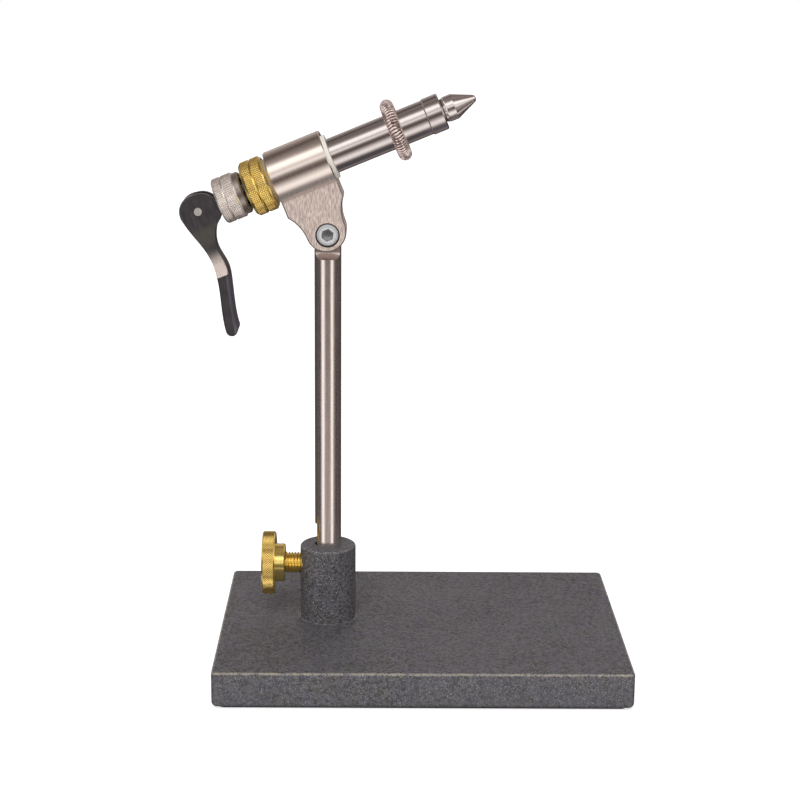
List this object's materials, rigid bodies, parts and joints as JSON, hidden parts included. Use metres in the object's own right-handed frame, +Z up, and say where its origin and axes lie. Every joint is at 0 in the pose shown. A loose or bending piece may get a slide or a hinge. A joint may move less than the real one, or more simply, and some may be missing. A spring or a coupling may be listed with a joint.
{
  "type": "fly tying vise",
  "caption": "Rotary fly tying vise: cam-closed conical jaws on a tilting rotary head, carried by a round stem clamped in a socket on a flat plate base.",
  "frame": {"origin": "middle of the face it rests on, the underside of the base pad", "axes": "+Z up, +X along the base towards the jaws, +Y to the far side, away from the pivot screw's head"},
  "size_m": [0.1582, 0.1048, 0.2045],
  "materials": {
    "charcoal_coating": "textured powder coat",
    "pad_rubber": "matt sheet",
    "zinc_steel": "bright zinc",
    "stem_steel": "ground stainless",
    "brass": "turned and knurled",
    "nylon": "natural nylon",
    "brushed_head": "brushed",
    "bushing_plastic": "smooth",
    "polished_steel": "polished",
    "jaw_steel": "polished",
    "silver_aluminium": "knurled",
    "black_oxide": "black oxide",
    "spring_steel": "drawn wire"
  },
  "bodies": {
    "base": {"base_plate": "charcoal_coating", "base_pad": "pad_rubber", "stem_socket": "charcoal_coating", "socket_screw": "zinc_steel"},
    "clamp_tip": {"thumbscrew_tip": "nylon"},
    "thumbscrew": {"thumbscrew": "brass"},
    "post": {"stem": "stem_steel"},
    "head": {"head_body": "brushed_head", "pivot_screw": "zinc_steel", "front_bushing": "bushing_plastic", "rear_bushing": "bushing_plastic"},
    "spindle": {"spindle_tube": "polished_steel", "nose_ring": "polished_steel", "return_spring": "spring_steel"},
    "tension_nut": {"tension_nut": "brass"},
    "lock_nut": {"lock_nut": "brass"},
    "lock_ring": {"adjuster_lock_ring": "silver_aluminium"},
    "adjuster": {"adjuster_knob": "silver_aluminium"},
    "draw_bar": {"draw_bar": "zinc_steel", "jaw_spring": "spring_steel"},
    "near_jaw": {"near_jaw": "jaw_steel"},
    "far_jaw": {"far_jaw": "jaw_steel"},
    "lever": {"cam_lever": "black_oxide", "cam_pin": "zinc_steel"},
    "material_clip": {"material_spring": "spring_steel"}
  },
  "joints": [
    {"name": "clamp_slide", "type": "slide", "parent": "base", "child": "clamp_tip", "axis": [-1, 0, 0], "range_m": [0, 0.00212]},
    {"name": "thumbscrew_turn", "type": "hinge", "parent": "clamp_tip", "child": "thumbscrew", "pos_m": [-0.034, 0.0038, 0.0338], "axis": [-1, 0, 0], "range_deg": [0, 720.5]},
    {"name": "stem_height", "type": "slide", "parent": "base", "child": "post", "axis": [0, 0, 1], "range_m": [0, 0.012]},
    {"name": "head_tilt", "type": "hinge", "parent": "post", "child": "head", "pos_m": [-0.034, 0.0038, 0.1559], "axis": [0, -1, 0], "range_deg": [-22.5, 22.5]},
    {"name": "rotary", "type": "hinge", "parent": "head", "child": "spindle", "pos_m": [-0.0433, 0.0038, 0.17835], "axis": [0.9239, 0, 0.3827], "continuous": true},
    {"name": "tension_turn", "type": "hinge", "parent": "spindle", "child": "tension_nut", "pos_m": [-0.0433, 0.0038, 0.17835], "axis": [0.9239, 0, 0.3827], "range_deg": [-180, 180]},
    {"name": "lock_nut_turn", "type": "hinge", "parent": "spindle", "child": "lock_nut", "pos_m": [-0.0433, 0.0038, 0.17835], "axis": [0.9239, 0, 0.3827], "range_deg": [-180, 180]},
    {"name": "lock_ring_turn", "type": "hinge", "parent": "spindle", "child": "lock_ring", "pos_m": [-0.0433, 0.0038, 0.17835], "axis": [0.9239, 0, 0.3827], "range_deg": [-180, 180]},
    {"name": "adjuster_turn", "type": "hinge", "parent": "spindle", "child": "adjuster", "pos_m": [-0.0433, 0.0038, 0.17835], "axis": [0.9239, 0, 0.3827], "range_deg": [-180, 180]},
    {"name": "draw_slide", "type": "slide", "parent": "spindle", "child": "draw_bar", "axis": [0.9239, 0, 0.3827], "range_m": [0, 0.00151]},
    {"name": "lever_swing", "type": "hinge", "parent": "draw_bar", "child": "lever", "pos_m": [-0.0791, 0.0038, 0.16352], "axis": [0, 1, 0], "range_deg": [0, 90]},
    {"name": "near_jaw_open", "type": "slide", "parent": "draw_bar", "child": "near_jaw", "axis": [0, -1, 0], "range_m": [0, 0.00029]},
    {"name": "far_jaw_open", "type": "slide", "parent": "draw_bar", "child": "far_jaw", "axis": [0, 1, 0], "range_m": [0, 0.00029]},
    {"name": "clip_slide", "type": "slide", "parent": "spindle", "child": "material_clip", "axis": [0.9239, 0, 0.3827], "range_m": [-0.015, 0.008]}
  ],
  "couplings": [
    {"joint": "thumbscrew_turn", "follows": "clamp_slide", "rad_per_m": 5936.9},
    {"joint": "draw_slide", "follows": "lever_swing", "m_per_rad": 0.00095493},
    {"joint": "near_jaw_open", "follows": "lever_swing", "m_per_rad": 0.00017825},
    {"joint": "far_jaw_open", "follows": "lever_swing", "m_per_rad": 0.00017825}
  ]
}
